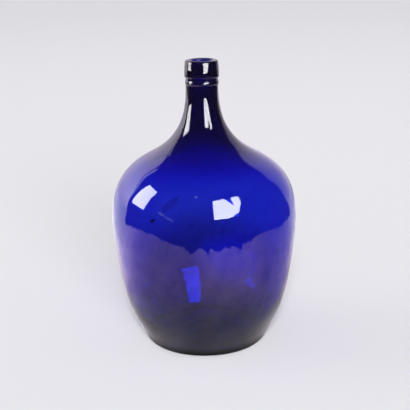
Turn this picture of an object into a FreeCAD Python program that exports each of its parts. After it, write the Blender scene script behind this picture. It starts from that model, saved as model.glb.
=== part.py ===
import FreeCAD, Part
import os
from FreeCAD import Vector

# Antique demijohn of blown glass, in millimetres.
# The origin is the middle of the surface that it stands on, and +Z runs up the bottle's axis.

# Belly: the widest ring of the blown body
belly_radius = 129.3
belly_height = 184.0
belly_wall = 1.3

# Foot: the flat ring that touches the table
foot_radius = 77.0
foot_land = 11.0
foot_wall = 10.0

# Punt: the dome pushed up into the base, and the ring of glass left on it by the pontil rod
punt_depth = 24.0
punt_wall = 9.0
punt_ease = 0.45
scar_radius = 16.0
scar_bead = 2.6

# Side of the body, foot to belly: each ring's radius, its height or its drop below the belly, its wall
heel_spread = 13.5
heel_height = 14.0
heel_wall = 6.5
flank_inset = 22.5
flank_drop = 137.0
flank_wall = 3.4
swell_inset = 4.5
swell_drop = 54.0
swell_wall = 1.6

# Shoulder, belly to neck: each ring's radius, its height above the ring below, its wall
shoulder_inset = 8.0
shoulder_rise = 42.3
shoulder_wall = 1.3
crown_inset = 32.3
crown_rise = 31.0
crown_wall = 1.9
slope_flare = 36.6
slope_rise = 23.4
slope_wall = 4.8
throat_flare = 10.2
throat_rise = 30.3
throat_wall = 7.6

# Neck: the bore takes a stopper, and the cracked-off end is thinner where the lip laps over it
bore_radius = 15.0
bore_length = 46.0
neck_wall = 7.4
neck_rise = 52.0
neck_end_wall = 4.5

# Lip: one gob of glass laid round the neck's end and tooled to a bead, a groove and a collar
lip_height = 37.0
lip_cover = 4.0
bead_height = 13.5
bead_stand = 0.9
groove_depth = 0.2
collar_height = 20.5
collar_stand = 2.0
rim_stand = 0.5
rim_round = 3.2
mouth_round = 3.2

heading_sweeps = 60
axis_foot = Vector(0, 0, 0)
up = Vector(0, 0, 1)
outwards = Vector(1, 0, 0)

neck_radius = bore_radius + neck_wall
seat_radius = bore_radius + neck_end_wall
land_inner_radius = foot_radius - foot_land

# The rings of the outer surface, as radius, height and wall, from the foot upwards
shoulder_height = belly_height + shoulder_rise
crown_height = shoulder_height + crown_rise
slope_height = crown_height + slope_rise
throat_height = slope_height + throat_rise
ledge_height = throat_height + neck_rise
rings = [
    (foot_radius, 0, foot_wall),
    (foot_radius + heel_spread, heel_height, heel_wall),
    (belly_radius - flank_inset, belly_height - flank_drop, flank_wall),
    (belly_radius - swell_inset, belly_height - swell_drop, swell_wall),
    (belly_radius, belly_height, belly_wall),
    (belly_radius - shoulder_inset, shoulder_height, shoulder_wall),
    (belly_radius - crown_inset, crown_height, crown_wall),
    (neck_radius + slope_flare, slope_height, slope_wall),
    (neck_radius + throat_flare, throat_height, throat_wall),
]

bottle_height = ledge_height + lip_height
neck_end_height = bottle_height - lip_cover
bore_foot_height = bottle_height - bore_length


def at(radius, height):
    return Vector(radius, 0, height)


def line(*corners):
    return [Part.LineSegment(a, b).toShape() for a, b in zip(corners, corners[1:])]


def headings(points):
    """Directions that join the points in one smooth sweep: level at the first, upright at the last."""
    gaps = [(b - a).Length for a, b in zip(points, points[1:])]
    found = [outwards] + [Vector() for point in points[1:-1]] + [up]
    for sweep in range(heading_sweeps):
        for i in range(1, len(points) - 1):
            below, above = gaps[i - 1], gaps[i]
            pull = (points[i] - points[i - 1]) * (3 / below**2) + (points[i + 1] - points[i]) * (3 / above**2)
            pull = pull - found[i - 1] * (1 / below) - found[i + 1] * (1 / above)
            found[i] = pull * (1 / (2 / below + 2 / above))
    return found


def curved(*poles):
    curve = Part.BezierCurve()
    curve.setPoles(list(poles))
    return curve


def smooth_side(points):
    """Cubic spans through the points, with no break in slope or bend between them."""
    sweep = list(zip(points, headings(points)))
    edges = []
    for (start, leave), (end, arrive) in zip(sweep, sweep[1:]):
        third = (end - start).Length / 3
        edges.append(curved(start, start + leave * third, end - arrive * third, end).toShape())
    return edges


def moved_in(points, walls):
    """The points moved square through the wall to its inner face."""
    moved = []
    for point, heading, wall in zip(points, headings(points), walls):
        moved.append(point + Vector(-heading.z, 0, heading.x).normalize() * wall)
    return moved


def dome(rim_height, top_height):
    """Half of a bell-shaped section, level at its rim and at the axis."""
    handle = punt_ease * land_inner_radius
    return curved(
        at(land_inner_radius, rim_height),
        at(land_inner_radius - handle, rim_height),
        at(handle, top_height),
        at(0, top_height),
    )


def quarter_round(start, corner, end):
    """A rounded edge from start to end, tangent to both sides of the corner."""
    return [curved(start, corner, end).toShape()]


def turned(edges):
    """The solid that a closed section makes round the bottle's axis."""
    section = Part.Face(Part.Wire(Part.__sortEdges__(edges)))
    return section.revolve(axis_foot, up, 360)


def make_blown_body():
    outer = [at(radius, height) for radius, height, wall in rings]
    outer.append(at(neck_radius, ledge_height))
    inner = moved_in(outer, [wall for radius, height, wall in rings])
    inner.append(at(bore_radius, bore_foot_height))
    inside_top = punt_depth + punt_wall
    edges = line(at(land_inner_radius, 0), at(foot_radius, 0))
    edges += smooth_side(outer) + smooth_side(inner)
    edges += line(
        at(neck_radius, ledge_height),
        at(seat_radius, ledge_height),
        at(seat_radius, neck_end_height),
        at(bore_radius, neck_end_height),
        at(bore_radius, bore_foot_height),
    )
    edges += line(at(foot_radius, foot_wall), at(land_inner_radius, foot_wall))
    edges += [dome(foot_wall, inside_top).toShape(), dome(0, punt_depth).toShape()]
    edges += line(at(0, inside_top), at(0, punt_depth))
    return turned(edges)


def make_applied_lip():
    groove = at(neck_radius - groove_depth, ledge_height + bead_height)
    bead = at(neck_radius + bead_stand, ledge_height + bead_height / 2)
    collar_radius = neck_radius + collar_stand
    collar_foot = at(collar_radius, bottle_height - collar_height)
    rim_radius = neck_radius + rim_stand
    rim = at(rim_radius, bottle_height - rim_round)
    rim_top = at(rim_radius - rim_round, bottle_height)
    mouth_top = at(bore_radius + mouth_round, bottle_height)
    mouth = at(bore_radius, bottle_height - mouth_round)
    edges = [Part.Arc(at(neck_radius, ledge_height), bead, groove).toShape()]
    edges += quarter_round(groove, at(collar_radius, groove.z), collar_foot)
    edges += line(collar_foot, rim)
    edges += quarter_round(rim, at(rim_radius, bottle_height), rim_top)
    edges += line(rim_top, mouth_top)
    edges += quarter_round(mouth_top, at(bore_radius, bottle_height), mouth)
    edges += line(
        mouth,
        at(bore_radius, neck_end_height),
        at(seat_radius, neck_end_height),
        at(seat_radius, ledge_height),
        at(neck_radius, ledge_height),
    )
    return turned(edges)


def make_pontil_scar(body):
    """A ragged-off ring of glass, half sunk in the punt's dome before the dome is taken from it."""
    plumb = Part.LineSegment(at(scar_radius, 0), at(scar_radius, punt_depth))
    seat = dome(0, punt_depth).intersectCC(plumb)[0]
    blank = Part.makeTorus(scar_radius, scar_bead, at(0, seat.Z))
    return blank.cut(body).Solids[0]


blown_body = make_blown_body()
pieces = {
    "blown_body": blown_body,
    "applied_lip": make_applied_lip(),
    "pontil_scar": make_pontil_scar(blown_body),
}

os.makedirs("parts", exist_ok=True)
for name, shape in pieces.items():
    shape.exportStep("parts/" + name + ".step")
    print(name, shape.ShapeType, "valid", shape.isValid(), "volume", round(shape.Volume / 1000, 1), "cm3")
print("bottle", bottle_height, "mm high,", 2 * belly_radius, "mm across the belly")
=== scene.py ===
import math

import bpy
from mathutils import Euler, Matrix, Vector, noise
from mathutils.geometry import interpolate_bezier


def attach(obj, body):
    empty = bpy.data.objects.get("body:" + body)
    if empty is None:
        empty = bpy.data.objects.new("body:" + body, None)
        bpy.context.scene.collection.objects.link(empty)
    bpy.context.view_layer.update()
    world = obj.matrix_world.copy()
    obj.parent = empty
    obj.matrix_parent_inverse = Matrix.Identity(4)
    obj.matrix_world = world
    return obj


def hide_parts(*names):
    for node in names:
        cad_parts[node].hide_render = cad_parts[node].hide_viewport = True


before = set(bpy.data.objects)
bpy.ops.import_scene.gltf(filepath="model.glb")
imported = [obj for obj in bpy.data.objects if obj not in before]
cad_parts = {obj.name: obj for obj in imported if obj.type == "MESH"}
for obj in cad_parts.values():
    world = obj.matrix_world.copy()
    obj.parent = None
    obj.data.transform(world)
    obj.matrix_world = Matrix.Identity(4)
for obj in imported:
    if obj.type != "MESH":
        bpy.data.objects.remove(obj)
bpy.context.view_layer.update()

mm = 0.001
print("frame loaded:", ", ".join(sorted(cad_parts)))

# settings that many nodes share
eased = {"interpolation_type": "SMOOTHSTEP"}
multiply = {"operation": "MULTIPLY"}


def linear(hexColour):  # sRGB hex to the linear colour that a shader takes, with full alpha
    channels = [int(hexColour[i:i + 2], 16) / 255 for i in (1, 3, 5)]
    return [c / 12.92 if c <= 0.04045 else ((c + 0.055) / 1.055) ** 2.4 for c in channels] + [1]


def addNode(tree, kind, settings=None, inputs=None):
    node = tree.nodes.new(kind)
    for name, value in (settings or {}).items():
        setattr(node, name, value)
    for socket, value in (inputs or {}).items():
        if isinstance(value, bpy.types.NodeSocket):
            tree.links.new(value, node.inputs[socket])
        else:
            node.inputs[socket].default_value = value
    return node


def newMaterial(name):
    material = bpy.data.materials.new(name)
    material.use_nodes = True
    material.node_tree.nodes.clear()
    return material, material.node_tree


def newObject(name, data):
    piece = bpy.data.objects.new(name, data)
    bpy.context.scene.collection.objects.link(piece)
    return piece


def meshObject(name, points, faces, material):
    mesh = bpy.data.meshes.new(name)
    mesh.from_pydata(points, [], faces)
    mesh.materials.append(material)
    return newObject(name, mesh)


def hideFrom(piece, *rays):
    for ray in rays:
        setattr(piece, "visible_" + ray, False)


def smoothStep(low, high, value):
    share = min(max((value - low) / (high - low), 0), 1)
    return share * share * (3 - 2 * share)


# Cobalt-blue bottle glass, free-blown and fire-polished: clear, mirror-smooth and gently wavy,
# bright blue where the wall is thin and nearly black where light crosses the thick neck or base.
cobalt = {
    "refraction": 1.52,
    "tint": "#3C86F3",  # what is left of white light after one absorption length
    "absorptionPerMetre": 1790,
    "polish": 0.004,  # roughness of the clean skin
    "smearRoughness": 0.035,
    "smearSize": 38,  # mm, dusty smears
    "smearEdges": (0.56, 0.8),  # of the noise, where a smear starts and where it is full
    "filmColour": "#E2E4F0",  # a thin film of dirt below the belly
    "filmSize": 11,  # mm
    "filmEdges": (0.48, 0.74),  # as for the smears
    "filmHeights": (190, 110),  # mm, gone above the first and full below the second
    "wearHeights": (0.2, 1.4),  # mm, the foot ring is ground by standing
    "wearRoughness": 0.42,
    "scratchSize": 0.9,  # mm, coarser than real grit so that it shows
    "cordSize": 26,  # mm between the cords left by gathering
    "cordStretch": 0.45,  # they run up the bottle
    "cordDepth": 0.02,  # mm
    "rippleSize": 7,  # mm, the hammered look of a wooden block
    "rippleDepth": 0.011,  # mm
    "toolSize": 2.6,  # mm, chatter of the lip tool down the neck, coarser than real so that it shows
    "toolStretch": 0.3,  # it runs round the neck
    "toolDepth": 0.012,  # mm
    "toolFrom": (318, 346),  # mm up the neck
    "markDepth": 2.5,  # mm, the least reach of a mark through the wall
    "markEdges": (1.0, 0.55),  # share of its reach where a mark starts and where it is full
    "marks": [  # marks in the wall: ends and half width in mm, the colour left, the roughness added
        {"ends": ((-69.8, -106.8, 204.3), (-65.0, -109.1, 208.1)),  # a near-black speck
         "half": 2.1, "colour": "#08080A", "rough": 0.1},
        {"ends": ((-53.0, -111.7, 221.0), (-35.0, -110.3, 237.0)),  # a darker streak
         "half": 6.5, "colour": "#CFCFDA", "rough": 0},
        {"ends": ((-60.5, -108.6, 218.3), (-50.5, -114.8, 213.8)),  # scuff
         "half": 1.1, "colour": "#FFFFFF", "rough": 0.5},
        {"ends": ((-52.0, -114.2, 213.6), (-38.5, -121.0, 208.4)),  # scuff
         "half": 1.2, "colour": "#FFFFFF", "rough": 0.5},
        {"ends": ((-11.0, -113.6, 239.1), (-9.2, -113.7, 239.1)),  # chip
         "half": 1.2, "colour": "#FFFFFF", "rough": 0.55},
    ],
}


def makeCobaltGlass():
    material, tree = newMaterial("cobaltBlownGlass")
    place = addNode(tree, "ShaderNodeTexCoord").outputs["Object"]
    height = addNode(tree, "ShaderNodeSeparateXYZ", {}, {0: place}).outputs["Z"]
    smear = addNode(tree, "ShaderNodeTexNoise", {}, {
        "Vector": place, "Scale": 1 / (cobalt["smearSize"] * mm), "Detail": 5, "Roughness": 0.6})
    smearRough = addNode(tree, "ShaderNodeMapRange", eased, {
        "Value": smear.outputs["Fac"],
        "From Min": cobalt["smearEdges"][0], "From Max": cobalt["smearEdges"][1],
        "To Min": cobalt["polish"], "To Max": cobalt["smearRoughness"]})
    scratch = addNode(tree, "ShaderNodeTexNoise", {}, {
        "Vector": place, "Scale": 1 / (cobalt["scratchSize"] * mm), "Detail": 3})
    wear = addNode(tree, "ShaderNodeMapRange", {}, {
        "Value": height,
        "From Min": cobalt["wearHeights"][0] * mm, "From Max": cobalt["wearHeights"][1] * mm,
        "To Min": cobalt["wearRoughness"], "To Max": 0})
    wornRough = addNode(tree, "ShaderNodeMath", multiply, {
        0: wear.outputs["Result"], 1: scratch.outputs["Fac"]})
    rough = addNode(tree, "ShaderNodeMath", {"operation": "ADD"}, {
        0: smearRough.outputs["Result"], 1: wornRough.outputs["Value"]}).outputs["Value"]
    film = addNode(tree, "ShaderNodeTexNoise", {}, {
        "Vector": place, "Scale": 1 / (cobalt["filmSize"] * mm),
        "Detail": 4, "Roughness": 0.6, "Distortion": 0.4})
    filmSpots = addNode(tree, "ShaderNodeMapRange", eased, {
        "Value": film.outputs["Fac"],
        "From Min": cobalt["filmEdges"][0], "From Max": cobalt["filmEdges"][1]})
    filmLow = addNode(tree, "ShaderNodeMapRange", eased, {
        "Value": height,
        "From Min": cobalt["filmHeights"][0] * mm, "From Max": cobalt["filmHeights"][1] * mm})
    filmShare = addNode(tree, "ShaderNodeMath", multiply, {
        0: filmSpots.outputs["Result"], 1: filmLow.outputs["Result"]})
    colour = addNode(tree, "ShaderNodeMix", {"data_type": "RGBA"}, {
        0: filmShare.outputs["Value"], 6: (1, 1, 1, 1), 7: linear(cobalt["filmColour"])}).outputs[2]
    for mark in cobalt["marks"]:  # each is an ellipsoid laid along the wall
        start, end = (Vector(corner) * mm for corner in mark["ends"])
        turn = (end - start).to_track_quat("X", "Z").to_euler()
        half = mark["half"] * mm
        inMark = addNode(tree, "ShaderNodeMapping", {"vector_type": "TEXTURE"}, {
            "Vector": place, "Location": (start + end) / 2, "Rotation": turn,
            "Scale": ((end - start).length / 2 + half, half, max(half, cobalt["markDepth"] * mm))})
        reach = addNode(tree, "ShaderNodeVectorMath", {"operation": "LENGTH"}, {
            0: inMark.outputs["Vector"]})
        share = addNode(tree, "ShaderNodeMapRange", eased, {
            "Value": reach.outputs["Value"],
            "From Min": cobalt["markEdges"][0], "From Max": cobalt["markEdges"][1]})
        colour = addNode(tree, "ShaderNodeMix", {"data_type": "RGBA"}, {
            0: share.outputs["Result"], 6: colour, 7: linear(mark["colour"])}).outputs[2]
        rough = addNode(tree, "ShaderNodeMath", {"operation": "MULTIPLY_ADD"}, {
            0: share.outputs["Result"], 1: mark["rough"], 2: rough}).outputs["Value"]
    stretch = addNode(tree, "ShaderNodeMapping", {"vector_type": "POINT"}, {
        "Vector": place, "Scale": (1, 1, cobalt["cordStretch"])})
    cord = addNode(tree, "ShaderNodeTexNoise", {}, {
        "Vector": stretch.outputs["Vector"], "Scale": 1 / (cobalt["cordSize"] * mm),
        "Detail": 2, "Roughness": 0.4, "Distortion": 0.6})
    cordBump = addNode(tree, "ShaderNodeBump", {}, {
        "Height": cord.outputs["Fac"], "Distance": cobalt["cordDepth"] * mm, "Strength": 1})
    ripple = addNode(tree, "ShaderNodeTexNoise", {}, {
        "Vector": place, "Scale": 1 / (cobalt["rippleSize"] * mm), "Detail": 1})
    rippleBump = addNode(tree, "ShaderNodeBump", {}, {
        "Height": ripple.outputs["Fac"], "Distance": cobalt["rippleDepth"] * mm, "Strength": 1,
        "Normal": cordBump.outputs["Normal"]})
    banded = addNode(tree, "ShaderNodeMapping", {"vector_type": "POINT"}, {
        "Vector": place, "Scale": (cobalt["toolStretch"], cobalt["toolStretch"], 1)})
    chatter = addNode(tree, "ShaderNodeTexNoise", {}, {
        "Vector": banded.outputs["Vector"], "Scale": 1 / (cobalt["toolSize"] * mm), "Detail": 1})
    toolShare = addNode(tree, "ShaderNodeMapRange", eased, {
        "Value": height, "From Min": cobalt["toolFrom"][0] * mm, "From Max": cobalt["toolFrom"][1] * mm})
    toolHeight = addNode(tree, "ShaderNodeMath", multiply, {
        0: chatter.outputs["Fac"], 1: toolShare.outputs["Result"]})
    toolBump = addNode(tree, "ShaderNodeBump", {}, {
        "Height": toolHeight.outputs["Value"], "Distance": cobalt["toolDepth"] * mm, "Strength": 1,
        "Normal": rippleBump.outputs["Normal"]})
    glass = addNode(tree, "ShaderNodeBsdfPrincipled", {}, {
        "Base Color": colour, "Roughness": rough, "IOR": cobalt["refraction"],
        "Transmission Weight": 1, "Normal": toolBump.outputs["Normal"]})
    depth = addNode(tree, "ShaderNodeVolumeAbsorption", {}, {
        "Color": linear(cobalt["tint"]), "Density": cobalt["absorptionPerMetre"]})
    addNode(tree, "ShaderNodeOutputMaterial", {}, {
        "Surface": glass.outputs["BSDF"], "Volume": depth.outputs["Volume"]})
    return material


# The bottle's section in millimetres, as the solids have it apart from a finer lip.
bottle = {
    "rings": [  # radius, height and wall
        (77.0, 0.0, 10.0),  # foot
        (90.5, 14.0, 6.5),  # heel
        (106.8, 47.0, 3.4),  # flank
        (124.8, 130.0, 1.6),  # swell
        (129.3, 184.0, 1.3),  # belly
        (121.3, 226.3, 1.3),  # shoulder
        (97.0, 257.3, 1.9),  # crown
        (59.0, 280.7, 4.8),  # slope
        (32.6, 311.0, 7.6),  # throat
    ],
    "neckRadius": 22.4,
    "neckTop": 363.0,
    "boreRadius": 15.0,
    "boreFoot": 354.0,
    "landRadius": 66.0,  # where the flat foot ring meets the punt
    "puntDepth": 24.0,
    "puntWall": 9.0,
    "puntEase": 0.45,
    "beadHeight": 13.5,
    "beadStand": 0.9,
    "beadWidth": 6.0,  # the part of the bead's height that stands out
    "beadShoulders": (0.3, 0.7),  # share of that width at which the bead's handles stand
    "grooveDepth": 0.2,
    "collarStand": 2.0,
    "collarTuck": 0.3,  # by which the collar's foot is smaller
    "collarFoot": 379.5,
    "collarRise": (0, 8),  # the handle of the collar's side at its foot
    "rimLean": (0.45, -6),  # and at its rim
    "rimStand": 0.5,
    "rimRound": 3.2,
    "mouthRound": 3.2,
    "height": 400.0,
    "headingSweeps": 60,  # rounds until the headings settle
    "spanSteps": 20,
    "landSteps": 5,
    "lipSteps": 8,
    "sideSteps": 12,
    "rimSteps": 10,
    "pointGap": 0.01,  # closer points of the section are one
    "segments": 184,
    "seamGap": 0.002,  # closes the seam and the poles of the lathe
    "waveHeight": 0.55,  # how far the free-blown wall wanders
    "waveSize": 62.0,
    "waveFrom": (2, 40),  # up the foot, where the waves start and where they are full
    "waveUntil": (275, 330),  # up the shoulder, where they calm down
    "neckCalm": 0.8,  # share of them that the neck loses
    "wallWander": 0.5,  # how far the inner face strays from the outer one
    "wanderSize": 48.0,
    "lipWander": 0.9,  # how uneven the tool left the lip
    "lipSize": 17.0,
    "lipFrom": (364, 378),  # up the lip, where that starts and where it is full
    "seedsPerArea": 900,  # trapped bubbles for each square metre
    "seedRadius": 0.34,
    "seedScales": ((0.45, 0.45, 0.6), (1.1, 1.1, 1.7)),  # times the radius, least and most
    "seedDepth": 0.62,  # under the outer face, which is the middle of the thinnest wall
    "seedHeights": (60, 285),  # the thin part of the wall
    "seed": 7,
}


# Directions that carry one smooth sweep through the points, level first and upright last.
def headings(points):
    gaps = [(b - a).length for a, b in zip(points, points[1:])]
    found = [Vector((1, 0))] + [Vector((0, 0)) for point in points[1:-1]] + [Vector((0, 1))]
    for sweep in range(bottle["headingSweeps"]):
        for i in range(1, len(points) - 1):
            below, above = gaps[i - 1], gaps[i]
            pull = (points[i] - points[i - 1]) * (3 / below**2) + (points[i + 1] - points[i]) * (3 / above**2)
            pull -= found[i - 1] / below + found[i + 1] / above
            found[i] = pull / (2 / below + 2 / above)
    return found


def cubic(start, first, second, end, steps):
    return [Vector(point[:2]) for point in interpolate_bezier(start, first, second, end, steps + 1)]


def sweepThrough(points, steps):
    ways = headings(points)
    line = [points[0]]
    for i, (start, end) in enumerate(zip(points, points[1:])):
        third = (end - start).length / 3
        line += cubic(start, start + ways[i] * third, end - ways[i + 1] * third, end, steps)[1:]
    return line


def dome(low, top, steps):  # from the foot ring to the axis
    rim = bottle["landRadius"]
    ease = bottle["puntEase"] * rim
    return cubic(Vector((rim, low)), Vector((rim - ease, low)), Vector((ease, top)), Vector((0, top)), steps)


def rounded(start, corner, end, steps):  # a hot-tooled edge, tangent to both sides of its corner
    return cubic(start, start.lerp(corner, 2 / 3), end.lerp(corner, 2 / 3), end, steps)


def straight(start, end, steps):
    return [start.lerp(end, i / steps) for i in range(steps + 1)]


def lipOutline():
    neck, bore, top = bottle["neckRadius"], bottle["boreRadius"], bottle["height"]
    beadFoot = Vector((neck, bottle["neckTop"]))
    groove = Vector((neck - bottle["grooveDepth"], bottle["neckTop"] + bottle["beadHeight"]))
    beadHalf = bottle["beadWidth"] / bottle["beadHeight"] / 2
    beadLow, beadHigh = beadFoot.lerp(groove, 0.5 - beadHalf), beadFoot.lerp(groove, 0.5 + beadHalf)
    beadPull = Vector((bottle["beadStand"] * 4 / 3, 0))
    beadHandles = [beadLow.lerp(beadHigh, share) + beadPull for share in bottle["beadShoulders"]]
    collarFoot = Vector((neck + bottle["collarStand"] - bottle["collarTuck"], bottle["collarFoot"]))
    rim = neck + bottle["rimStand"]
    rimSide = Vector((rim, top - bottle["rimRound"]))
    crest = Vector(((rim + bore) / 2, top))  # the fire-polished rim has no flat
    mouth = Vector((bore, top - bottle["mouthRound"]))
    line = straight(beadFoot, beadLow, bottle["lipSteps"])
    line += cubic(beadLow, *beadHandles, beadHigh, bottle["sideSteps"])
    line += straight(beadHigh, groove, bottle["lipSteps"])
    line += rounded(groove, Vector((collarFoot.x, groove.y)), collarFoot, bottle["lipSteps"])
    line += cubic(collarFoot, collarFoot + Vector(bottle["collarRise"]),
                  rimSide + Vector(bottle["rimLean"]), rimSide, bottle["sideSteps"])
    line += rounded(rimSide, Vector((rim, top)), crest, bottle["rimSteps"])
    line += rounded(crest, Vector((bore, top)), mouth, bottle["rimSteps"])
    return line


# One closed skin of glass: under the punt, up the outside, over the lip and down the inside.
def bottleOutline():
    steps, landSteps = bottle["spanSteps"], bottle["landSteps"]
    footWall = bottle["rings"][0][2]
    outer = [Vector((radius, height)) for radius, height, wall in bottle["rings"]]
    outer.append(Vector((bottle["neckRadius"], bottle["neckTop"])))
    inner = []
    for (radius, height, wall), way in zip(bottle["rings"], headings(outer)):
        inner.append(Vector((radius, height)) + Vector((-way.y, way.x)).normalized() * wall)
    boreFoot = Vector((bottle["boreRadius"], bottle["boreFoot"]))
    inner.append(boreFoot)
    outside = dome(0, bottle["puntDepth"], steps)[::-1]
    outside += straight(outside[-1], outer[0], landSteps)
    outside += sweepThrough(outer, steps)
    lip = lipOutline()
    inside = straight(lip[-1], boreFoot, landSteps)
    inside += sweepThrough(inner, steps)[::-1]
    inside += straight(inner[0], Vector((bottle["landRadius"], footWall)), landSteps)
    inside += dome(footWall, bottle["puntDepth"] + bottle["puntWall"], steps)
    kept = []
    for point, isInner in [(p, 0) for p in outside + lip] + [(p, 1) for p in inside]:
        if not kept or (point - kept[-1][0]).length > bottle["pointGap"]:
            kept.append((point, isInner))
    return kept


def outlineMesh():  # the section as a wire, with what the lathe has to know at each of its points
    outline = bottleOutline()
    points = [point for point, isInner in outline]
    edges = [(i, i + 1) for i in range(len(points) - 1)]
    mesh = bpy.data.meshes.new("bottleSection")
    mesh.from_pydata([(p.x * mm, 0, p.y * mm) for p in points], edges, [])
    facing = []
    shares = {"waveShare": [], "innerShare": [], "lipShare": []}
    for i, (point, isInner) in enumerate(outline):
        along = points[min(i + 1, len(points) - 1)] - points[max(i - 1, 0)]
        out = Vector((along.y, -along.x)).normalized() * (-1 if isInner else 1)
        facing += [out.x, 0, out.y]  # both faces of a wall share one way out
        wave = smoothStep(*bottle["waveFrom"], point.y)
        wave *= 1 - bottle["neckCalm"] * smoothStep(*bottle["waveUntil"], point.y)
        if point.x < bottle["landRadius"] and point.y < bottle["rings"][2][1]:
            wave = 0  # the punt stays true, because the pontil scar sits on it
        shares["waveShare"].append(wave)
        shares["innerShare"].append(isInner * wave)
        shares["lipShare"].append((1 - isInner) * smoothStep(*bottle["lipFrom"], point.y))
    mesh.attributes.new("facing", "FLOAT_VECTOR", "POINT").data.foreach_set("vector", facing)
    for name, values in shares.items():
        mesh.attributes.new(name, "FLOAT", "POINT").data.foreach_set("value", values)
    return mesh


def latheInputs(glass):  # each input's name, kind and value
    return [
        ("Segments", "NodeSocketInt", bottle["segments"]),
        ("Wave Height", "NodeSocketFloat", bottle["waveHeight"] * mm),
        ("Wave Size", "NodeSocketFloat", bottle["waveSize"] * mm),
        ("Wall Wander", "NodeSocketFloat", bottle["wallWander"] * mm),
        ("Wander Size", "NodeSocketFloat", bottle["wanderSize"] * mm),
        ("Lip Wander", "NodeSocketFloat", bottle["lipWander"] * mm),
        ("Lip Size", "NodeSocketFloat", bottle["lipSize"] * mm),
        ("Seeds Per Area", "NodeSocketFloat", bottle["seedsPerArea"]),
        ("Seed Radius", "NodeSocketFloat", bottle["seedRadius"] * mm),
        ("Seed Depth", "NodeSocketFloat", bottle["seedDepth"] * mm),
        ("Seed", "NodeSocketInt", bottle["seed"]),
        ("Glass", "NodeSocketMaterial", glass),
    ]


# Turns the section round the axis, and lets the wall wander as blown glass does.
def turnSection(tree, given):
    section = given["Section"]
    count = addNode(tree, "GeometryNodeAttributeDomainSize", {}, {"Geometry": section}).outputs["Point Count"]
    columns = addNode(tree, "ShaderNodeMath", {"operation": "ADD"}, {0: given["Segments"], 1: 1})
    sheet = addNode(tree, "GeometryNodeMeshGrid", {}, {
        "Size X": 1, "Size Y": 1, "Vertices X": columns.outputs["Value"], "Vertices Y": count})
    flat = addNode(tree, "GeometryNodeInputPosition").outputs["Position"]
    across = addNode(tree, "ShaderNodeSeparateXYZ", {}, {0: flat})
    turn = addNode(tree, "ShaderNodeMath", {"operation": "MULTIPLY_ADD"}, {
        0: across.outputs["X"], 1: 2 * math.pi, 2: math.pi})
    lastPoint = addNode(tree, "ShaderNodeMath", {"operation": "SUBTRACT"}, {0: count, 1: 1})
    upShare = addNode(tree, "ShaderNodeMath", {"operation": "ADD"}, {0: across.outputs["Y"], 1: 0.5})
    rowPlace = addNode(tree, "ShaderNodeMath", multiply, {
        0: upShare.outputs["Value"], 1: lastPoint.outputs["Value"]})
    row = addNode(tree, "ShaderNodeMath", {"operation": "ROUND"}, {
        0: rowPlace.outputs["Value"]}).outputs["Value"]
    facing = addNode(tree, "GeometryNodeInputNamedAttribute", {"data_type": "FLOAT_VECTOR"}, {
        "Name": "facing"}).outputs["Attribute"]
    turned = {}
    for name, field in (("place", flat), ("facing", facing)):
        sampled = addNode(tree, "GeometryNodeSampleIndex", {"data_type": "FLOAT_VECTOR"}, {
            "Geometry": section, "Value": field, "Index": row})
        turned[name] = addNode(tree, "ShaderNodeVectorRotate", {"rotation_type": "Z_AXIS"}, {
            "Vector": sampled.outputs["Value"], "Angle": turn.outputs["Value"]}).outputs["Vector"]
    shifts = []
    for share, height, size, centre, most in (
        ("waveShare", "Wave Height", "Wave Size", 0.72, 0.0),  # both faces move in, so the box is kept
        ("innerShare", "Wall Wander", "Wander Size", 0.5, 0.5),  # the inner face strays both ways
        ("lipShare", "Lip Wander", "Lip Size", 0.62, 0.0),
    ):
        field = addNode(tree, "GeometryNodeInputNamedAttribute", {"data_type": "FLOAT"}, {"Name": share})
        sampled = addNode(tree, "GeometryNodeSampleIndex", {"data_type": "FLOAT"}, {
            "Geometry": section, "Value": field.outputs["Attribute"], "Index": row})
        fineness = addNode(tree, "ShaderNodeMath", {"operation": "DIVIDE"}, {0: 1, 1: given[size]})
        wander = addNode(tree, "ShaderNodeTexNoise", {"noise_dimensions": "4D"}, {
            "Vector": turned["place"], "W": given["Seed"], "Scale": fineness.outputs["Value"],
            "Detail": 2, "Roughness": 0.35})
        drift = addNode(tree, "ShaderNodeMath", {"operation": "SUBTRACT"}, {
            0: wander.outputs["Fac"], 1: centre})
        kept = addNode(tree, "ShaderNodeMath", {"operation": "MINIMUM"}, {
            0: drift.outputs["Value"], 1: most})
        depth = addNode(tree, "ShaderNodeMath", multiply, {
            0: kept.outputs["Value"], 1: given[height]})
        shifts.append(addNode(tree, "ShaderNodeMath", multiply, {
            0: depth.outputs["Value"], 1: sampled.outputs["Value"]}).outputs["Value"])
    bodyShift = addNode(tree, "ShaderNodeMath", {"operation": "ADD"}, {0: shifts[0], 1: shifts[1]})
    shift = addNode(tree, "ShaderNodeMath", {"operation": "ADD"}, {
        0: bodyShift.outputs["Value"], 1: shifts[2]})
    offset = addNode(tree, "ShaderNodeVectorMath", {"operation": "SCALE"}, {
        0: turned["facing"], "Scale": shift.outputs["Value"]})
    placed = addNode(tree, "GeometryNodeSetPosition", {}, {
        "Geometry": sheet.outputs["Mesh"], "Position": turned["place"], "Offset": offset.outputs["Vector"]})
    closed = addNode(tree, "GeometryNodeMergeByDistance", {}, {
        "Geometry": placed.outputs["Geometry"], "Distance": bottle["seamGap"] * mm})
    return addNode(tree, "GeometryNodeSetShadeSmooth", {}, {
        "Geometry": closed.outputs["Geometry"]}).outputs["Geometry"]


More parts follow.
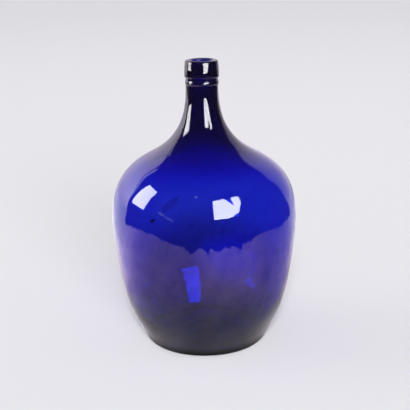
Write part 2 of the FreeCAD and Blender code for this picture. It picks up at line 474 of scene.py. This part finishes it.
def trapSeeds(tree, given, skin):  # bubbles in the thin part of the wall
    place = addNode(tree, "GeometryNodeInputPosition").outputs["Position"]
    height = addNode(tree, "ShaderNodeSeparateXYZ", {}, {0: place}).outputs["Z"]
    normal = addNode(tree, "GeometryNodeInputNormal").outputs["Normal"]
    level = addNode(tree, "ShaderNodeVectorMath", multiply, {0: place, 1: (1, 1, 0)})
    outwards = addNode(tree, "ShaderNodeVectorMath", {"operation": "DOT_PRODUCT"}, {
        0: level.outputs["Vector"], 1: normal})
    isOuter = addNode(tree, "ShaderNodeMath", {"operation": "GREATER_THAN"}, {
        0: outwards.outputs["Value"], 1: 0})
    aboveBase = addNode(tree, "ShaderNodeMath", {"operation": "GREATER_THAN"}, {
        0: height, 1: bottle["seedHeights"][0] * mm})
    belowNeck = addNode(tree, "ShaderNodeMath", {"operation": "LESS_THAN"}, {
        0: height, 1: bottle["seedHeights"][1] * mm})
    inBelly = addNode(tree, "ShaderNodeMath", multiply, {
        0: aboveBase.outputs["Value"], 1: belowNeck.outputs["Value"]})
    seeded = addNode(tree, "ShaderNodeMath", multiply, {
        0: isOuter.outputs["Value"], 1: inBelly.outputs["Value"]})
    spots = addNode(tree, "GeometryNodeDistributePointsOnFaces", {}, {
        "Mesh": skin, "Selection": seeded.outputs["Value"],
        "Density": given["Seeds Per Area"], "Seed": given["Seed"]})
    inwards = addNode(tree, "ShaderNodeMath", multiply, {0: given["Seed Depth"], 1: -1})
    sink = addNode(tree, "ShaderNodeVectorMath", {"operation": "SCALE"}, {
        0: spots.outputs["Normal"], "Scale": inwards.outputs["Value"]})
    sunk = addNode(tree, "GeometryNodeSetPosition", {}, {
        "Geometry": spots.outputs["Points"], "Offset": sink.outputs["Vector"]})
    bubble = addNode(tree, "GeometryNodeMeshIcoSphere", {}, {
        "Radius": given["Seed Radius"], "Subdivisions": 2})
    hollow = addNode(tree, "GeometryNodeFlipFaces", {}, {
        "Mesh": bubble.outputs["Mesh"]})  # its skin faces the air in it
    roundBubble = addNode(tree, "GeometryNodeSetShadeSmooth", {}, {"Geometry": hollow.outputs["Mesh"]})
    spread = addNode(tree, "FunctionNodeRandomValue", {"data_type": "FLOAT_VECTOR"}, {
        0: bottle["seedScales"][0], 1: bottle["seedScales"][1], "Seed": given["Seed"]})
    return addNode(tree, "GeometryNodeInstanceOnPoints", {}, {
        "Points": sunk.outputs["Geometry"], "Instance": roundBubble.outputs["Geometry"],
        "Scale": spread.outputs["Value"]}).outputs["Instances"]


def buildLatheTree(sizes):
    tree = bpy.data.node_groups.new("blownGlassLathe", "GeometryNodeTree")
    tree.interface.new_socket("Section", in_out="INPUT", socket_type="NodeSocketGeometry")
    identifiers = {}
    for name, kind, value in sizes:
        identifiers[name] = tree.interface.new_socket(name, in_out="INPUT", socket_type=kind).identifier
    tree.interface.new_socket("Bottle", in_out="OUTPUT", socket_type="NodeSocketGeometry")
    given = addNode(tree, "NodeGroupInput").outputs
    skin = turnSection(tree, given)
    seeds = trapSeeds(tree, given, skin)
    joined = addNode(tree, "GeometryNodeJoinGeometry", {}, {"Geometry": skin})
    tree.links.new(seeds, joined.inputs["Geometry"])
    real = addNode(tree, "GeometryNodeRealizeInstances", {}, {"Geometry": joined.outputs["Geometry"]})
    glazed = addNode(tree, "GeometryNodeSetMaterial", {}, {
        "Geometry": real.outputs["Geometry"], "Material": given["Glass"]})
    addNode(tree, "NodeGroupOutput", {}, {"Bottle": glazed.outputs["Geometry"]})
    return tree, identifiers


def makeBottle(glass):
    section = newObject("bottleSection", outlineMesh())
    sizes = latheInputs(glass)
    tree, identifiers = buildLatheTree(sizes)
    lathe = section.modifiers.new("lathe", "NODES")
    lathe.node_group = tree
    for name, kind, value in sizes:
        lathe[identifiers[name]] = value
    graph = bpy.context.evaluated_depsgraph_get()
    mesh = bpy.data.meshes.new_from_object(section.evaluated_get(graph))
    mesh.name = "blownBottle"
    bpy.data.objects.remove(section)
    piece = newObject("blownBottle", mesh)
    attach(piece, "root")
    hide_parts("blown_body", "applied_lip")
    print("bottle blown:", len(mesh.polygons), "faces")


# The ring of glass that the pontil rod tore off with: half a bead on the punt, left ragged.
pontil = {
    "radius": 16.0,  # mm
    "bead": 2.6,  # mm
    "ragged": 0.55,  # share of the bead that was chipped away
    "chipSize": 3.2,  # mm
    "fineTimes": 2.7,  # how much finer the small chips are
    "fineShare": 0.5,  # and how much they count
    "clearance": 0.04,  # mm, so that scar and punt don't share a face
    "seatSteps": 200,
    "around": 144,
    "across": 14,
}


def puntHeight(radius):  # mm, the underside of the punt at this radius
    line = dome(0, bottle["puntDepth"], pontil["seatSteps"])
    outer, inner = next((a, b) for a, b in zip(line, line[1:]) if b.x <= radius)
    return inner.y + (outer.y - inner.y) * (radius - inner.x) / (outer.x - inner.x)


def makePontilScar(glass):
    across, around = pontil["across"], pontil["around"]
    loop = 2 * across
    points, faces = [], []
    for i in range(around):
        turn = 2 * math.pi * i / around
        for j in range(loop):  # out along the torn underside, then back along the seat
            torn = j <= across
            swing = math.pi * (j if torn else loop - j) / across
            radius = pontil["radius"] - pontil["bead"] * math.cos(swing)
            seat = puntHeight(radius) - pontil["clearance"]
            place = Vector((radius * math.cos(turn), radius * math.sin(turn), seat))
            if torn:
                grain = place / pontil["chipSize"]
                chip = noise.noise(grain) + pontil["fineShare"] * noise.noise(grain * pontil["fineTimes"])
                left = 1 - pontil["ragged"] * min(max(0.5 + chip, 0), 1)
                place.z -= pontil["bead"] * math.sin(swing) * left
            points.append(place * mm)
    for i in range(around):
        here, there = i * loop, (i + 1) % around * loop
        for j in range(loop):
            faces.append((here + j, there + j, there + (j + 1) % loop, here + (j + 1) % loop))
    piece = meshObject("pontilScar", points, faces, glass)
    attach(piece, "root")
    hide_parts("pontil_scar")
    print("pontil scar torn:", len(faces), "faces")


# The studio round the bottle: pale to the eye, and a dim room where the glass mirrors it.
studio = {
    "backgroundColour": "#E3E2E7",
    "fillLevel": 0.32,  # share of the background's light that falls on the cloth
    "roomColour": "#5F4F66",
    "bounces": 24,
    "mirrorBounces": 12,
}


def mirrorFlag(tree):  # 1 for a ray that glass has mirrored, 0 for one that came through it
    path = addNode(tree, "ShaderNodeLightPath").outputs
    return addNode(tree, "ShaderNodeMath", multiply, {
        0: path["Is Glossy Ray"], 1: path["Is Reflection Ray"]}).outputs["Value"]


def makeWorld():
    world = bpy.data.worlds.new("studio")
    bpy.context.scene.world = world
    world.use_nodes = True
    tree = world.node_tree
    tree.nodes.clear()
    path = addNode(tree, "ShaderNodeLightPath").outputs
    level = addNode(tree, "ShaderNodeMapRange", {}, {
        "Value": path["Is Diffuse Ray"], "To Min": 1, "To Max": studio["fillLevel"]})
    pale = addNode(tree, "ShaderNodeBackground", {}, {
        "Color": linear(studio["backgroundColour"]), "Strength": level.outputs["Result"]})
    dim = addNode(tree, "ShaderNodeBackground", {}, {"Color": linear(studio["roomColour"])})
    seen = addNode(tree, "ShaderNodeMixShader", {}, {
        0: mirrorFlag(tree), 1: pale.outputs["Background"], 2: dim.outputs["Background"]})
    addNode(tree, "ShaderNodeOutputWorld", {}, {"Surface": seen.outputs["Shader"]})


def addStage(name, points, faces, material):
    piece = meshObject(name, points, faces, material)
    return piece


# White cotton cloth on the table, matt and a little creased. The camera sees it plainly lit,
# and the glass mirrors it as a glow of its own.
cloth = {
    "half": 9.0,  # m
    "drop": 0.15,  # mm below the foot, so that glass and cloth don't share a face
    "colour": "#E7E6EA",
    "farColour": "#DAD9DD",  # the far cloth gets less light
    "farRange": (0.9, 6.0),  # m from the axis
    "glowBack": "#E6E0EE",  # how the lit cloth looks in the glass, behind the bottle and near its foot
    "glowFront": "#FFDCFF",  # and in front of it
    "glowTurn": (0.5, -0.15),  # m, from the back to the front
    "glowNear": (0.13, 0.32),  # m from the axis, where the colour by the foot ends
    "glowLeft": 1.08,  # times brighter towards the left softbox
    "glowRight": 0.8,
    "glowSides": (-0.25, 0.3),  # m, from the left to the right
    "glowBehind": 1.8,  # times brighter behind, to both sides of the bottle
    "behindLean": -0.3,  # it reaches further forward on the right
    "behindRange": (0, 0.3),  # m behind the axis
    "asideRange": (0.18, 0.3),  # m to the side
    "glowSpot": 0.8,  # how much brighter the cloth is under the right softbox
    "spotAzimuth": 30,  # degrees, as for the lamps
    "spotHalf": 48,  # degrees
    "creaseSize": 0.085,  # m between the creases
    "creaseEdges": (0.3, 0.7),  # of the noise, the valleys and the ridges
    "creaseShade": 0.24,
    "footShade": (0.08, 0.098),  # m from the axis, where the foot shades the cloth
    "footLevel": 0.05,
    "neckLag": (-0.035, 0.005),  # m, ray length less the cloth's distance from the axis, for the neck's rays
    "neckReach": (0.9, 1.05),  # m from the axis, where the neck's rays meet the cloth
    "neckMirrored": 0.25,  # how bright the cloth looks in the neck, whose edges are dark in the photo
    "neckThrough": 0.6,  # and through it
    "blueCentre": (0.045, 0.325),  # m, where the bottle throws its blue light on the cloth behind it
    "blueHalf": (0.085, 0.19),  # m to the side and back
    "blueCore": 0.2,  # share of that size with the full light
    "blueColour": "#1024FF",
    "blueLevel": 0.4,
    "tableLeft": -0.93,  # m
    "tableRight": 0.74,
    "tableFront": 0.49,
    "tableCorner": 3,  # how square the cloth's corners are, 2 is round
    "foldTurn": 0.17,  # radians between the folds of the cloth's edge, seen from the bottle
    "foldReach": 2.6,  # how far they shift that edge
    "roomLines": (-0.345, 0.727),  # m back for each metre to the side; the room lies in front of them
}


def neckRays(tree, away):  # near 1 for a ray that the neck sent to the cloth
    rayLength = addNode(tree, "ShaderNodeLightPath").outputs["Ray Length"]
    lag = addNode(tree, "ShaderNodeMath", {"operation": "SUBTRACT"}, {0: rayLength, 1: away})
    lagShare = addNode(tree, "ShaderNodeMapRange", eased, {
        "Value": lag.outputs["Value"], "From Min": cloth["neckLag"][0], "From Max": cloth["neckLag"][1]})
    reachShare = addNode(tree, "ShaderNodeMapRange", eased, {
        "Value": away, "From Min": cloth["neckReach"][0], "From Max": cloth["neckReach"][1]})
    return addNode(tree, "ShaderNodeMath", multiply, {
        0: lagShare.outputs["Result"], 1: reachShare.outputs["Result"]}).outputs["Value"]


def litCloth(tree, place, away, fromNeck):  # as the camera sees it, with the bottle's blue light on it
    far = addNode(tree, "ShaderNodeMapRange", eased, {
        "Value": away, "From Min": cloth["farRange"][0], "From Max": cloth["farRange"][1]})
    colour = addNode(tree, "ShaderNodeMix", {"data_type": "RGBA"}, {
        0: far.outputs["Result"],
        6: linear(cloth["colour"]), 7: linear(cloth["farColour"])})
    path = addNode(tree, "ShaderNodeLightPath").outputs
    throughNeck = addNode(tree, "ShaderNodeMath", multiply, {
        0: fromNeck, 1: path["Is Transmission Ray"]})
    neckColour = [cloth["neckThrough"] * c for c in linear(cloth["colour"])[:3]]
    seenColour = addNode(tree, "ShaderNodeMix", {"data_type": "RGBA"}, {
        0: throughNeck.outputs["Value"], 6: colour.outputs[2], 7: (*neckColour, 1)})
    diffuse = addNode(tree, "ShaderNodeBsdfDiffuse", {}, {"Color": seenColour.outputs[2]})
    inBlue = addNode(tree, "ShaderNodeMapping", {"vector_type": "TEXTURE"}, {
        "Vector": place, "Location": (*cloth["blueCentre"], 0), "Scale": (*cloth["blueHalf"], 1)})
    blueReach = addNode(tree, "ShaderNodeVectorMath", {"operation": "LENGTH"}, {0: inBlue.outputs["Vector"]})
    blueLevel = addNode(tree, "ShaderNodeMapRange", eased, {
        "Value": blueReach.outputs["Value"], "From Min": 1, "From Max": cloth["blueCore"],
        "To Max": cloth["blueLevel"]})
    blueLight = addNode(tree, "ShaderNodeEmission", {}, {
        "Color": linear(cloth["blueColour"]), "Strength": blueLevel.outputs["Result"]})
    return addNode(tree, "ShaderNodeAddShader", {}, {
        0: diffuse.outputs["BSDF"], 1: blueLight.outputs["Emission"]}).outputs["Shader"]


def clothGlow(tree, place, away, bearing, fromNeck):  # as the glass mirrors it
    axes = addNode(tree, "ShaderNodeSeparateXYZ", {}, {0: place}).outputs
    inFront = addNode(tree, "ShaderNodeMapRange", eased, {
        "Value": axes["Y"], "From Min": cloth["glowTurn"][0], "From Max": cloth["glowTurn"][1]})
    clearOfFoot = addNode(tree, "ShaderNodeMapRange", eased, {
        "Value": away, "From Min": cloth["glowNear"][0], "From Max": cloth["glowNear"][1]})
    frontShare = addNode(tree, "ShaderNodeMath", multiply, {
        0: inFront.outputs["Result"], 1: clearOfFoot.outputs["Result"]})
    colour = addNode(tree, "ShaderNodeMix", {"data_type": "RGBA"}, {
        0: frontShare.outputs["Value"],
        6: linear(cloth["glowBack"]), 7: linear(cloth["glowFront"])})
    sideLevel = addNode(tree, "ShaderNodeMapRange", eased, {
        "Value": axes["X"], "From Min": cloth["glowSides"][0], "From Max": cloth["glowSides"][1],
        "To Min": cloth["glowLeft"], "To Max": cloth["glowRight"]})
    lean = addNode(tree, "ShaderNodeMath", {"operation": "MULTIPLY_ADD"}, {
        0: axes["X"], 1: cloth["behindLean"], 2: axes["Y"]})
    behind = addNode(tree, "ShaderNodeMapRange", eased, {
        "Value": lean.outputs["Value"],
        "From Min": cloth["behindRange"][0], "From Max": cloth["behindRange"][1]})
    sideways = addNode(tree, "ShaderNodeMath", {"operation": "ABSOLUTE"}, {0: axes["X"]})
    aside = addNode(tree, "ShaderNodeMapRange", eased, {
        "Value": sideways.outputs["Value"],
        "From Min": cloth["asideRange"][0], "From Max": cloth["asideRange"][1],
        "To Min": 0, "To Max": cloth["glowBehind"] - 1})
    behindLevel = addNode(tree, "ShaderNodeMath", {"operation": "MULTIPLY_ADD"}, {
        0: behind.outputs["Result"], 1: aside.outputs["Result"], 2: 1})
    spotTurn = math.radians(cloth["spotAzimuth"])
    towardsSpot = addNode(tree, "ShaderNodeVectorMath", {"operation": "DOT_PRODUCT"}, {
        0: bearing, 1: (math.sin(spotTurn), -math.cos(spotTurn), 0)})
    spotShare = addNode(tree, "ShaderNodeMapRange", eased, {
        "Value": towardsSpot.outputs["Value"], "From Min": math.cos(math.radians(cloth["spotHalf"])),
        "From Max": 1, "To Max": cloth["glowSpot"]})
    spotLevel = addNode(tree, "ShaderNodeMath", {"operation": "MULTIPLY_ADD"}, {
        0: spotShare.outputs["Result"], 1: clearOfFoot.outputs["Result"], 2: 1})
    crease = addNode(tree, "ShaderNodeTexNoise", {}, {
        "Vector": place, "Scale": 1 / cloth["creaseSize"], "Detail": 4, "Roughness": 0.6})
    creaseLevel = addNode(tree, "ShaderNodeMapRange", {}, {
        "Value": crease.outputs["Fac"],
        "From Min": cloth["creaseEdges"][0], "From Max": cloth["creaseEdges"][1],
        "To Min": 1 - cloth["creaseShade"], "To Max": 1 + cloth["creaseShade"]})
    footShade = addNode(tree, "ShaderNodeMapRange", eased, {
        "Value": away, "From Min": cloth["footShade"][0], "From Max": cloth["footShade"][1],
        "To Min": cloth["footLevel"]})
    neckLevel = addNode(tree, "ShaderNodeMapRange", {}, {
        "Value": fromNeck, "To Min": 1, "To Max": cloth["neckMirrored"]})
    strength = sideLevel.outputs["Result"]
    for level in (spotLevel.outputs["Value"], behindLevel.outputs["Value"], creaseLevel.outputs["Result"],
                  footShade.outputs["Result"], neckLevel.outputs["Result"]):
        strength = addNode(tree, "ShaderNodeMath", multiply, {
            0: strength, 1: level}).outputs["Value"]
    return addNode(tree, "ShaderNodeEmission", {}, {
        "Color": colour.outputs[2], "Strength": strength}).outputs["Emission"]


def dimRoom(tree, place, bearing):  # 1 where the cloth has ended and the dim room begins
    axes = addNode(tree, "ShaderNodeSeparateXYZ", {}, {0: place}).outputs
    middle = (cloth["tableLeft"] + cloth["tableRight"]) / 2
    half = (cloth["tableRight"] - cloth["tableLeft"]) / 2
    reachX = addNode(tree, "ShaderNodeMath", {"operation": "MULTIPLY_ADD"}, {
        0: axes["X"], 1: 1 / half, 2: -middle / half})
    reachY = addNode(tree, "ShaderNodeMath", multiply, {
        0: axes["Y"], 1: -1 / cloth["tableFront"]})
    front = addNode(tree, "ShaderNodeMath", {"operation": "MAXIMUM"}, {0: reachY.outputs["Value"], 1: 0})
    side = addNode(tree, "ShaderNodeMath", {"operation": "ABSOLUTE"}, {0: reachX.outputs["Value"]})
    powers = [addNode(tree, "ShaderNodeMath", {"operation": "POWER"}, {
        0: node.outputs["Value"], 1: cloth["tableCorner"]}) for node in (side, front)]
    reach = addNode(tree, "ShaderNodeMath", {"operation": "ADD"}, {
        0: powers[0].outputs["Value"], 1: powers[1].outputs["Value"]})
    folds = addNode(tree, "ShaderNodeTexNoise", {}, {
        "Vector": bearing, "Scale": 1 / cloth["foldTurn"], "Detail": 4, "Roughness": 0.65})
    edge = addNode(tree, "ShaderNodeMath", {"operation": "MULTIPLY_ADD"}, {
        0: folds.outputs["Fac"], 1: cloth["foldReach"], 2: 1 - cloth["foldReach"] / 2})
    offTable = addNode(tree, "ShaderNodeMath", {"operation": "GREATER_THAN"}, {
        0: reach.outputs["Value"], 1: edge.outputs["Value"]})
    lines = [addNode(tree, "ShaderNodeMath", multiply, {
        0: axes["X"], 1: slope}) for slope in cloth["roomLines"]]
    roomBack = addNode(tree, "ShaderNodeMath", {"operation": "MAXIMUM"}, {
        0: lines[0].outputs["Value"], 1: lines[1].outputs["Value"]})
    inFront = addNode(tree, "ShaderNodeMath", {"operation": "LESS_THAN"}, {
        0: axes["Y"], 1: roomBack.outputs["Value"]})
    return addNode(tree, "ShaderNodeMath", multiply, {
        0: offTable.outputs["Value"], 1: inFront.outputs["Value"]}).outputs["Value"]


def makeFloor():
    material, tree = newMaterial("whiteCloth")
    place = addNode(tree, "ShaderNodeTexCoord").outputs["Object"]
    away = addNode(tree, "ShaderNodeVectorMath", {"operation": "LENGTH"}, {0: place}).outputs["Value"]
    bearing = addNode(tree, "ShaderNodeVectorMath", {"operation": "NORMALIZE"}, {0: place}).outputs["Vector"]
    fromNeck = neckRays(tree, away)
    lit = litCloth(tree, place, away, fromNeck)
    glow = clothGlow(tree, place, away, bearing, fromNeck)
    room = addNode(tree, "ShaderNodeEmission", {}, {"Color": linear(studio["roomColour"])})
    mirrored = addNode(tree, "ShaderNodeMixShader", {}, {
        0: dimRoom(tree, place, bearing), 1: glow, 2: room.outputs["Emission"]})
    seen = addNode(tree, "ShaderNodeMixShader", {}, {
        0: mirrorFlag(tree), 1: lit, 2: mirrored.outputs["Shader"]})
    addNode(tree, "ShaderNodeOutputMaterial", {}, {"Surface": seen.outputs["Shader"]})
    half = cloth["half"]
    low = -cloth["drop"] * mm
    corners = [(-half, -half, low), (half, -half, low), (half, half, low), (-half, half, low)]
    addStage("tableFloor", corners, [(0, 1, 2, 3)], material)


# White foam boards behind the bottle, matt and brighter towards the left. Only mirrored rays meet them.
boards = {
    "distance": 1.0,  # m behind the bottle
    "colour": "#EDE2F3",
    "footRange": (0.15, 0.6),  # m up, where the light by the table turns to the full light
    "panels": [  # ends and heights in metres, brightness at both ends, share of it by the table
        {"ends": (-2.75, 0.0), "heights": (0.13, 1.38), "levels": (4.6, 0.9), "footShare": 0.68},
        {"ends": (0.0, 1.7), "heights": (0.13, 1.38), "levels": (1.28, 0.72), "footShare": 1.18},
        {"ends": (-2.65, -0.9), "heights": (1.47, 1.6), "levels": (3.6, 2.4), "footShare": 1.0},
    ],
}


def makeBoards():
    y = boards["distance"]
    for i, panel in enumerate(boards["panels"]):
        left, right = panel["ends"]
        foot, top = panel["heights"]
        material, tree = newMaterial("whiteBoard" + str(i))
        place = addNode(tree, "ShaderNodeTexCoord").outputs["Object"]
        axes = addNode(tree, "ShaderNodeSeparateXYZ", {}, {0: place}).outputs
        sideLevel = addNode(tree, "ShaderNodeMapRange", {}, {
            "Value": axes["X"], "From Min": left, "From Max": right,
            "To Min": panel["levels"][0], "To Max": panel["levels"][1]})
        footLevel = addNode(tree, "ShaderNodeMapRange", {}, {
            "Value": axes["Z"], "From Min": boards["footRange"][0], "From Max": boards["footRange"][1],
            "To Min": panel["footShare"], "To Max": 1})
        level = addNode(tree, "ShaderNodeMath", multiply, {
            0: sideLevel.outputs["Result"], 1: footLevel.outputs["Result"]})
        glow = addNode(tree, "ShaderNodeEmission", {}, {
            "Color": linear(boards["colour"]), "Strength": level.outputs["Value"]})
        addNode(tree, "ShaderNodeOutputMaterial", {}, {"Surface": glow.outputs["Emission"]})
        corners = [(left, y, foot), (right, y, foot), (right, y, top), (left, y, top)]
        board = addStage("whiteBoard" + str(i), corners, [(0, 1, 2, 3)], material)
        hideFrom(board, "camera", "diffuse", "transmission", "volume_scatter", "shadow")


# White softbox cloth, lit from behind: an even white patch in the glass.
softboxes = {  # centre, the point it faces and size in metres, brightness, outlines as shares of the size
    "leftSoftbox": {
        "centre": (-0.81, -0.045, 0.61), "faces": (0.0, -0.045, 0.5), "size": (0.33, 0.53),
        "frontLevel": 13.5, "insideLevel": 13.5,
        "front": [[(-0.5, -0.5), (0.5, -0.5), (0.5, 0.5), (-0.5, 0.5)]],
        "inside": [  # the far wall of the bottle only shows two scraps of it
            [(-0.5, -0.5), (0.5, -0.5), (0.5, -0.2), (-0.5, -0.35)],
            [(-0.3, 0.3), (0.5, 0.35), (0.5, 0.5), (-0.4, 0.5)],
        ],
    },
    "rightSoftbox": {  # its cloth hangs open at the top
        "centre": (0.335, -0.69, 0.62), "faces": (0.0, -0.03, 0.62), "size": (0.393, 0.553),
        "frontLevel": 17.0, "insideLevel": 22.0,
        "front": [[
            (-0.53, -0.54), (0.09, -0.54), (0.52, -0.38), (0.78, 0.08), (0.89, 0.54),
            (0.47, 0.56), (0.38, -0.02), (0.12, 0.52), (-0.49, 0.45),
        ]],
        "inside": [[(-0.5, -0.5), (0.5, -0.5), (0.5, 0.5), (-0.5, 0.5)]],
    },
}


def makeSoftboxes():  # seen in the glass only; the lamps below light the cloth
    for name, box in softboxes.items():
        centre = Vector(box["centre"])
        turn = (Vector(box["faces"]) - centre).to_track_quat("-Z", "Y")
        width, height = box["size"]
        for view, hiddenRay in (("front", "transmission"), ("inside", "glossy")):
            material, tree = newMaterial(name + view.title() + "Cloth")
            glow = addNode(tree, "ShaderNodeEmission", {}, {"Strength": box[view + "Level"]})
            addNode(tree, "ShaderNodeOutputMaterial", {}, {"Surface": glow.outputs["Emission"]})
            points, faces = [], []
            for outline in box[view]:
                faces.append([len(points) + i for i in range(len(outline))])
                points += [centre + turn @ Vector((u * width, v * height, 0)) for u, v in outline]
            panel = addStage(name + view.title(), points, faces, material)
            hideFrom(panel, "camera", "diffuse", "volume_scatter", "shadow", hiddenRay)


lamps = {  # degrees round from the camera's side towards the right, degrees up, how wide it looks, strength
    "frontLamp": {"azimuth": -0.5, "elevation": 29, "spread": 13, "strength": 3.75},
    "rightLamp": {"azimuth": 15, "elevation": 15, "spread": 24, "strength": 1.7},
    "leftLamp": {"azimuth": -95, "elevation": 25, "spread": 40, "strength": 0.4},
}


def makeLamps():
    for name, lamp in lamps.items():
        data = bpy.data.lights.new(name, "SUN")
        data.energy = lamp["strength"]
        data.angle = math.radians(lamp["spread"])
        azimuth, elevation = math.radians(lamp["azimuth"]), math.radians(lamp["elevation"])
        level = math.cos(elevation)
        towards = Vector((math.sin(azimuth) * level, -math.cos(azimuth) * level, math.sin(elevation)))
        holder = newObject(name, data)
        holder.rotation_euler = towards.to_track_quat("Z", "Y").to_euler()
        hideFrom(holder, "camera", "glossy", "transmission")


camera = {  # fitted to the bottle's outline in the photo
    "place": (0.00127, -1.3270, 0.5814),
    "target": (0.00127, 0.0, 0.1951),
    "focalPixels": 980,
    "framePixels": 410,
    "sensor": 36.0,
    "roll": 1.02,  # degrees
}


def makeCamera():
    data = bpy.data.cameras.new("photoCamera")
    data.sensor_width = camera["sensor"]
    data.lens = camera["focalPixels"] / camera["framePixels"] * camera["sensor"]
    holder = newObject("photoCamera", data)
    holder.location = camera["place"]
    aim = Vector(camera["target"]) - Vector(camera["place"])
    turn = aim.to_track_quat("-Z", "Y") @ Euler((0, 0, -math.radians(camera["roll"]))).to_quaternion()
    holder.rotation_euler = turn.to_euler()
    bpy.context.scene.camera = holder


glass = makeCobaltGlass()
makeBottle(glass)
makePontilScar(glass)
makeFloor()
makeBoards()
makeWorld()
makeSoftboxes()
makeLamps()
makeCamera()
scene = bpy.context.scene
scene.view_settings.view_transform = "Standard"
scene.cycles.max_bounces = studio["bounces"]
scene.cycles.transmission_bounces = studio["bounces"]
scene.cycles.glossy_bounces = studio["mirrorBounces"]
print("studio set")
